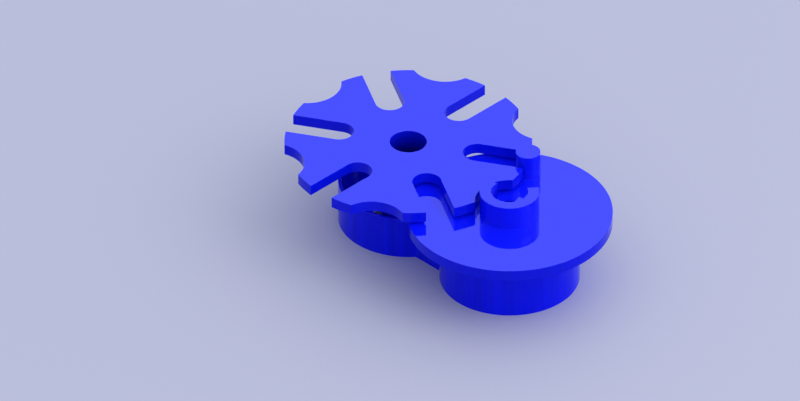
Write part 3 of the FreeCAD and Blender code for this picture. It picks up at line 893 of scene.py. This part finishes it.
def build_pin_nut():
    """Thin hexagon nut, its corners rounded off below.

    Each of its six sides has nine rays, at distance = half width across flats / cos(angle from the side's
    middle). The bevel starts at the inscribed circle, and rises by its lip and slope * (that distance -
    half width). The bands run up the bevel and the side, over the top, down the bore and out along the
    underside.
    """
    shell = Shell()
    bottom, top = levels("pin_nut")
    flat = half_width("pin_nut", 1)
    bore = SHANK_RADIUS + sizes().gap
    lip, slope = 0.1 * MM, 0.8
    spread = np.linspace(-30, 30, 9)
    middle = 30 + 60 * np.arange(6)[:, None]
    ways = middle + spread
    corner = np.broadcast_to(flat / np.cos(np.radians(spread)), ways.shape)

    def raised(flat_part, height):
        return np.concatenate([flat_part, np.broadcast_to(height, ways.shape)[..., None]], -1)

    def ring(distance, height):
        return raised(PIN_PLACE + np.broadcast_to(distance, ways.shape)[..., None] * ray(ways), height)

    def facing(turn, out, up):
        return raised(out * ray(np.broadcast_to(turn, ways.shape)), up)

    rise = bottom + lip + slope * (corner - flat)
    rings = [ring(flat, bottom), ring(corner, rise), ring(corner, top), ring(bore, top), ring(bore, bottom)]
    normals = [facing(ways, 0.6, -0.8), facing(middle, 1, 0), facing(ways, 0, 1), facing(ways, -1, 0),
               facing(ways, 0, -1)]
    for lower, upper, normal in zip(rings, rings[1:] + rings[:1], normals):
        shell.strips(lower, upper, normal)
    shell.piece("thin_pin_nut", "driver", "bright_steel", "pin_nut", "steel_pin")


# The frame and its bearings

def tray_outline():
    """Two round lobes and the straight bridge between them."""
    radius = high("frame_base").y
    half = sizes().bridge_width / 2
    meet = degrees(asin(half / radius))
    inward = radius * cos(radians(meet))
    left, right = AXIS["wheel"], AXIS["drive"]
    return np.vstack([
        arc(right, radius, meet - 180, 180 - meet),
        line((right[0] - inward, half), (left[0] + inward, half)),
        arc(left, radius, meet, 360 - meet),
        line((left[0] + inward, -half), (right[0] - inward, -half)),
    ])


def build_frame():
    """Open tray with bosses over its inserts, ribs along its bridge and a hole under each post."""
    size = sizes()
    shell = Shell()
    top, insert_top = high("frame_base").z, high("mount_inserts").z
    wall, fillet, edge = size.frame_wall, size.floor_fillet, size.tray_edge
    profile = rounded([(-2 * edge, 0, 0), (0, 0, size.edge), (0, top, edge), (-wall, top, edge),
                       (-wall, FLOOR_TOP, fillet), (-wall - 2 * fillet, FLOOR_TOP, 0)], steps=4)
    ends = [shell.wall(tray_outline(), profile)]
    for centre in AXIS.values():
        recess = hole(centre, RING_RADIUS + size.loose_gap)
        ends.append(shell.wall(recess, edge_profile(0, FLOOR_TOP, size.edge)))
    bottoms, tops = map(list, zip(*ends))
    boss, boss_top = INSERT_RADIUS + size.boss_wall, insert_top + size.boss_cover
    inset, rib_root, boss_root = 0.3 * MM, FLOOR_TOP - 0.3 * MM, FLOOR_TOP - 0.5 * MM
    seat = rounded([(-inset, 0, 0), (0, 0, size.edge), (0, insert_top, 0)])
    outside = rounded([(boss, boss_root, 0), (boss, boss_top, size.boss_edge), (INSERT_RADIUS, boss_top, 0)])
    for place in INSERT_PLACES:
        mouth, end = shell.wall(hole(place, INSERT_RADIUS + size.gap), seat)
        bottoms.append(mouth)
        shell.cap([end], -1)
        shell.close(shell.spun(place, outside, closed=False))
    shell.cap(bottoms, -1)
    shell.cap(tops, 1)
    half_rib = np.array([SPAN / 2 - POST_RADIUS - size.rib_gap, size.rib_thickness / 2])
    corners = half_rib * [(-1, -1), (1, -1), (1, 1), (-1, 1)]
    for i in (-1, 0, 1):
        rib = polygon(corners + (0, i * size.bridge_width / 4))
        shell.plate([rib], rib_root, FLOOR_TOP + size.rib_height, edge)
    shell.piece("tray_frame", "root", "blue_gloss", "frame_base", "smooth_blue", "moulded_blue")


def build_post(station):
    """Flanged tube that holds two bushes."""
    size = sizes()
    shell = Shell()
    node = station + "_bearing_post"
    centre = AXIS[station]
    bottom, top = levels(node)
    flange, seat = bottom + size.post_flange, bottom + size.bush_flange
    bush, recess = SLEEVE_RADIUS + size.bush_wall, RING_RADIUS + size.loose_gap
    small, edge, fillet = size.edge, size.post_edge, size.post_fillet
    outside = rounded([(-2 * edge, bottom, 0), (0, bottom, small), (0, flange, edge), (-2 * edge, flange, 0)])
    section = rounded([
        (HOUSING_RADIUS + 1.2 * fillet, flange, 0), (HOUSING_RADIUS, flange, fillet),
        (HOUSING_RADIUS, top, edge), (bush, top, small), (bush, seat, small), (recess, seat, small),
        (recess, bottom, small), (recess + 3 * small, bottom, 0)])
    ends = [shell.wall(circle(centre, POST_RADIUS), outside)]
    ends.append(shell.spun(centre, section, closed=False, count=160)[::-1])
    for place in places_round(centre, POST_SCREW_CIRCLE, 4):
        screw_hole = hole(place, size.post_screw / 2 + size.loose_gap)
        ends.append(shell.wall(screw_hole, edge_profile(bottom, flange, small)))
    shell.close(*ends)
    shell.piece(station + "_post", "root", "blue_enamel", node, "smooth_blue")


def build_bush(station, level, side):
    """Flanged bronze bush: side is 1 with its flange on top and -1 with its flange below."""
    size = sizes()
    shell = Shell()
    node = station + "_" + level + "_bush"
    bottom, top = levels(node)
    start = bottom if side > 0 else top
    inner, outer = SLEEVE_RADIUS + size.gap, SLEEVE_RADIUS + size.bush_wall - size.gap
    height, flange = top - bottom, top - bottom - size.bush_flange
    edge, small, chamfer = size.edge, size.small_edge, size.bush_chamfer
    section = [(inner, 0, small), (outer - chamfer, 0, edge), (outer, chamfer, edge), (outer, flange, edge),
               (RING_RADIUS, flange, small), (RING_RADIUS, height, 2 * small), (inner, height, 2 * small)]
    section = [(r, start + side * z, radius) for r, z, radius in section][::side]
    shell.spun(AXIS[station], rounded(section, closed=True))
    shell.piece(node + "ing", "root", "bush_bronze", node, "bronze_" + station)


def build_ring(name, body, slot, node, finish_name, centre, inner):
    """Plain washer or shim with its edges broken, as large as its CAD node."""
    shell = Shell()
    bottom, top = levels(node)
    outer = half_width(node)
    edge = min(sizes().small_edge, (top - bottom) / 4)
    corners = [(inner, bottom, edge), (outer, bottom, edge), (outer, top, edge), (inner, top, edge)]
    shell.spun(centre, rounded(corners, closed=True))
    shell.piece(name, body, slot, node, finish_name)


def circlip_outline(centre):
    """Spring ring, widest opposite its opening, with a rounded ear at each end, and its ears' middles.

    Outer radius(a) = narrow + taper * the larger of (1 + cos a) / 2 and the ears' bump, with a measured
    from the side opposite the opening. Bump = root of 1 - (degrees from the ear's middle / 13) squared.
    """
    size = sizes()
    inner = SLEEVE_RADIUS - size.groove_depth + size.gap
    reach = high("drive_circlip").x - AXIS["drive"][0]
    last = 180 - degrees(asin(size.circlip_gap / 2 / inner))
    half_ear, ear_row, rows = 13, 7, 121
    a = np.linspace(-last, last, rows)
    ear = np.sqrt(np.clip(1 - ((np.abs(a) - (last - half_ear)) / half_ear) ** 2, 0, 1))
    outer = reach - size.circlip_taper * (1 - np.maximum((1 + np.cos(np.radians(a))) / 2, ear))
    rays = ray(a - 90)
    outline = polygon(centre + np.vstack([outer[:, None] * rays, inner * rays[::-1]]))
    return outline, centre + (inner + reach) / 2 * rays[[ear_row, -1 - ear_row]]


def build_circlip(station, body):
    """Spring ring with its two plier holes."""
    size = sizes()
    shell = Shell()
    node = station + "_circlip"
    outline, ears = circlip_outline(AXIS[station])
    shell.plate([outline] + [hole(ear, size.plier_hole / 2, 24) for ear in ears], *levels(node), size.edge)
    shell.piece(station + "_spring_ring", body, "bright_steel", node, "steel_" + station)


def build_post_screws(station):
    """Socket-head screws: knurled heads with hexagon sockets on plain shanks."""
    size = sizes()
    shell = Shell()
    node = station + "_post_screws"
    bottom, top = levels(node)
    seat = low(station + "_bearing_post").z + size.post_flange
    crown_edge, tip_edge = 0.25 * MM, 0.2 * MM
    outside = rounded([(0, seat, 0), (0, top, crown_edge), (-2 * crown_edge, top, 0)])
    socket = rounded([(0, top - SOCKET_SHARE * size.post_screw, 0), (0, top, 0)])
    stem = rounded([(-2 * tip_edge, bottom, 0), (0, bottom, tip_edge), (0, seat, 0)])
    for place in places_round(AXIS[station], POST_SCREW_CIRCLE, 4):
        under, crown = shell.wall(knurled(place, size.post_screw_head / 2, ridges=30, root=0.965), outside)
        floor, mouth = shell.wall(hexagon_hole(place, SOCKET_SHARE * size.post_screw_head), socket)
        tip, neck = shell.wall(circle(place, size.post_screw / 2, 32), stem)
        shell.cap([crown, mouth], 1)
        shell.cap([floor], 1)
        shell.cap([under, neck], -1)
        shell.cap([tip], -1)
    shell.piece(station + "_cap_screws", "root", "bright_steel", node, "steel_screws")


def build_inserts():
    """Brass inserts: knurled outside, threaded inside, flush with the underside."""
    size = sizes()
    shell = Shell()
    top, inset = high("mount_inserts").z, 0.3 * MM
    sides = rounded([(-inset, 0, 0), (0, 0, size.edge), (0, top, size.small_edge), (-inset, top, 0)])
    for place in INSERT_PLACES:
        outer = shell.wall(knurled(place, INSERT_RADIUS, ridges=24, root=0.96), sides)
        core = shell.grid(thread(place, size.insert_bore / 2, 0, top, size.fine_pitch, size.fine_depth,
                                 inside=True, count=24))
        shell.close(outer, core)
    shell.piece("base_inserts", "root", "insert_brass", "mount_inserts", "brass_inserts")


# The stage

def footprint(tree):
    """One within the frame's outline, and nought elsewhere.

    That is where the distance from either axis is less than the lobes' radius, or where a place
    between the axes is nearer to the middle line than half the bridge's width.
    """
    place = add(tree, "TexCoord").outputs["Object"]
    bridge = [maths(tree, "LESS_THAN", maths(tree, "ABSOLUTE", part(tree, place, side)), reach)
              for side, reach in (("X", SPAN / 2), ("Y", sizes().bridge_width / 2))]
    inside = maths(tree, "MULTIPLY", *bridge)
    for centre in AXIS.values():
        lobe = maths(tree, "LESS_THAN", axis_distance(tree, place, centre), high("frame_base").y)
        inside = maths(tree, "MAXIMUM", inside, lobe)
    return inside


def floor_material():
    """Plain pale floor, clear from below and, for what lies close over it, under the frame."""
    material, tree = new_material("studio_floor")
    paint = add(tree, "BsdfPrincipled", {"Base Color": (*bpy.context.scene.geneva_stage.floor, 1),
                                         "Roughness": 0.6, "Specular IOR Level": 0.2})
    clear = add(tree, "BsdfTransparent")
    below = add(tree, "NewGeometry").outputs["Backfacing"]
    near = 6 * MM
    close = maths(tree, "LESS_THAN", add(tree, "LightPath").outputs["Ray Length"], near)
    open_share = maths(tree, "MAXIMUM", below, maths(tree, "MULTIPLY", close, footprint(tree)))
    output(tree, add(tree, "MixShader", {0: open_share, 1: paint.outputs[0], 2: clear.outputs[0]}).outputs[0])
    return material


def build_floor():
    """Wide flat grid just under the frame."""
    half, count, drop = 3.0, 9, 0.02 * MM
    across = np.linspace(-half, half, count)
    x, y = np.meshgrid(across, across, indexing="ij")
    points = np.stack([x, y, np.full_like(x, -drop)], -1).reshape(-1, 3)
    number = np.arange(count * count).reshape(count, count)
    quads = np.stack([number[:-1, :-1], number[1:, :-1], number[1:, 1:], number[:-1, 1:]], -1)
    mesh = bpy.data.meshes.new("studio_floor")
    mesh.from_pydata(points.tolist(), [], quads.reshape(-1, 4).tolist())
    mesh.materials.append(floor_material())
    floor = new_object("studio_floor", mesh)


def build_world():
    """Studio seen and reflected alike: the floor's hue below the horizon, white from thirty degrees up.

    Brightness = ramp(height) * (1 + lean * share of the direction that points to the camera's right).
    """
    settings = bpy.context.scene.geneva_stage
    world = bpy.data.worlds.new("studio")
    bpy.context.scene.world = world
    world.use_nodes = True
    tree = world.node_tree
    tree.nodes.clear()
    direction = add(tree, "TexCoord").outputs["Generated"]
    ramp = add(tree, "ValToRGB", {"Fac": maths(tree, "MULTIPLY_ADD", part(tree, direction, "Z"), 0.5, 0.5)})
    white, ground = (0.97, 1.12, 1.14), 1.12
    stops = [(0.5, scaled(settings.floor, ground)), (0.56, scaled(white, settings.horizon)),
             (0.75, scaled(white, settings.sky))]
    for i, (at, shade) in enumerate(stops):
        stop = ramp.color_ramp.elements[i] if i < 2 else ramp.color_ramp.elements.new(at)
        stop.position = at
        stop.color = shade
    turn = settings.azimuth
    right = vectors(tree, "DOT_PRODUCT", direction, (cos(turn), sin(turn), 0))
    lean = maths(tree, "MULTIPLY_ADD", right, settings.lean, 1.0)
    light = add(tree, "Background", {"Color": ramp.outputs["Color"], "Strength": lean})
    tree.links.new(light.outputs[0], add(tree, "OutputWorld").inputs["Surface"])


def add_softbox(name, place, size, power):
    """Square soft light that faces the object."""
    light = bpy.data.lights.new(name, "AREA")
    light.shape = "SQUARE"
    light.size = size
    light.energy = power
    lamp = new_object(name, light)
    lamp.location = place
    lamp.rotation_euler = (-Vector(place)).to_track_quat("-Z", "Y").to_euler()


def build_camera(distance):
    """Camera with no perspective, at the photograph's angle and framing."""
    settings = bpy.context.scene.geneva_stage
    turn, rise = settings.azimuth, settings.elevation
    right = Vector((cos(turn), sin(turn), 0))
    up = Vector((-sin(turn) * sin(rise), cos(turn) * sin(rise), cos(rise)))
    back = right.cross(up)
    data = bpy.data.cameras.new("camera")
    data.type = "ORTHO"
    data.ortho_scale = settings.view_width
    data.clip_start, data.clip_end = 0.01, 10.0
    camera = new_object("camera", data)
    camera.location = up * settings.view_up - right * settings.view_left + back * distance
    camera.rotation_mode = "QUATERNION"
    camera.rotation_quaternion = (-back).to_track_quat("-Z", "Y")
    bpy.context.scene.camera = camera


# Operators, one for each piece or group of like pieces

class GENEVA_OT_wheel(bpy.types.Operator):
    """Build the star wheel"""
    bl_idname = "geneva.wheel"
    bl_label = "Star wheel"

    def execute(self, context):
        build_wheel()
        return {"FINISHED"}


class GENEVA_OT_disc(bpy.types.Operator):
    """Build the drive disc"""
    bl_idname = "geneva.disc"
    bl_label = "Drive disc"

    def execute(self, context):
        build_disc()
        return {"FINISHED"}


class GENEVA_OT_locking_hub(bpy.types.Operator):
    """Build the crescent-cut locking hub"""
    bl_idname = "geneva.locking_hub"
    bl_label = "Locking hub"

    def execute(self, context):
        build_locking_hub()
        return {"FINISHED"}


class GENEVA_OT_pin(bpy.types.Operator):
    """Build the drive pin"""
    bl_idname = "geneva.pin"
    bl_label = "Drive pin"

    def execute(self, context):
        build_pin()
        return {"FINISHED"}


class GENEVA_OT_wheel_hub(bpy.types.Operator):
    """Build the wheel's hub and its screws"""
    bl_idname = "geneva.wheel_hub"
    bl_label = "Wheel hub"

    def execute(self, context):
        build_wheel_hub()
        build_wheel_screws()
        return {"FINISHED"}


class GENEVA_OT_frame(bpy.types.Operator):
    """Build the tray frame"""
    bl_idname = "geneva.frame"
    bl_label = "Tray frame"

    def execute(self, context):
        build_frame()
        return {"FINISHED"}


class GENEVA_OT_posts(bpy.types.Operator):
    """Build the two bearing posts"""
    bl_idname = "geneva.posts"
    bl_label = "Bearing posts"

    def execute(self, context):
        for station in BODIES:
            build_post(station)
        return {"FINISHED"}


class GENEVA_OT_bearings(bpy.types.Operator):
    """Build the bushes, washers, shims and spring rings"""
    bl_idname = "geneva.bearings"
    bl_label = "Bearings"

    def execute(self, context):
        clear = SLEEVE_RADIUS + sizes().loose_gap
        for station, body in BODIES.items():
            build_bush(station, "upper", 1)
            build_bush(station, "lower", -1)
            build_ring(station + "_thrust_ring", "root", "bush_bronze", station + "_thrust_washer",
                       "bronze_" + station, AXIS[station], clear)
            build_ring(station + "_shim_ring", body, "bright_steel", station + "_shim",
                       "steel_" + station, AXIS[station], clear)
            build_circlip(station, body)
        return {"FINISHED"}


class GENEVA_OT_fasteners(bpy.types.Operator):
    """Build the nuts, the pin's washer, the post screws and the inserts"""
    bl_idname = "geneva.fasteners"
    bl_label = "Fasteners"

    def execute(self, context):
        build_lock_nut()
        build_pin_nut()
        build_ring("pin_ring", "driver", "bright_steel", "pin_washer", "steel_pin", PIN_PLACE,
                   SHANK_RADIUS + sizes().loose_gap)
        for station in BODIES:
            build_post_screws(station)
        build_inserts()
        return {"FINISHED"}


class GENEVA_OT_dress(bpy.types.Operator):
    """Give the CAD nodes that stay in view their materials"""
    bl_idname = "geneva.dress"
    bl_label = "CAD finishes"

    def execute(self, context):
        dress("wheel_dowels", "steel_wheel")
        dress("hub_key", "steel_drive")
        dress("lock_washer", "steel_drive")
        return {"FINISHED"}


class GENEVA_OT_stage(bpy.types.Operator):
    """Set up the floor, lights and camera"""
    bl_idname = "geneva.stage"
    bl_label = "Stage"

    def execute(self, context):
        build_floor()
        build_world()
        add_softbox("key_softbox", place=(0.85, 0.35, 0.90), size=0.8, power=context.scene.geneva_stage.key)
        build_camera(distance=0.8)
        context.scene.view_settings.view_transform = "Standard"
        return {"FINISHED"}


class GENEVA_PT_panel(bpy.types.Panel):
    """Lists the operators and their settings"""
    bl_label = "Geneva drive"
    bl_space_type = "VIEW_3D"
    bl_region_type = "UI"
    bl_category = "Geneva"

    def draw(self, context):
        for settings in SETTINGS:
            group = getattr(context.scene, settings)
            box = self.layout.box()
            for name in group.bl_rna.properties.keys():
                if name not in ("rna_type", "name"):
                    box.prop(group, name)
        for operator in OPERATORS:
            self.layout.operator(operator.bl_idname)


SETTINGS = {"geneva_sizes": GenevaSizes, "geneva_finish": GenevaFinish, "geneva_stage": GenevaStage}
OPERATORS = (GENEVA_OT_wheel, GENEVA_OT_disc, GENEVA_OT_locking_hub, GENEVA_OT_pin, GENEVA_OT_wheel_hub,
             GENEVA_OT_frame, GENEVA_OT_posts, GENEVA_OT_bearings, GENEVA_OT_fasteners, GENEVA_OT_dress,
             GENEVA_OT_stage)


def register():
    """Registers the settings, the operators and the panel."""
    for name, group in SETTINGS.items():
        bpy.utils.register_class(group)
        setattr(bpy.types.Scene, name, bpy.props.PointerProperty(type=group))
    for operator in OPERATORS:
        bpy.utils.register_class(operator)
    bpy.utils.register_class(GENEVA_PT_panel)


def unregister():
    """Takes back what register did."""
    bpy.utils.unregister_class(GENEVA_PT_panel)
    for operator in reversed(OPERATORS):
        bpy.utils.unregister_class(operator)
    for name, group in SETTINGS.items():
        delattr(bpy.types.Scene, name)
        bpy.utils.unregister_class(group)


def main():
    register()
    for operator in OPERATORS:
        group, name = operator.bl_idname.split(".")
        getattr(getattr(bpy.ops, group), name)()


if __name__ == "__main__":
    main()
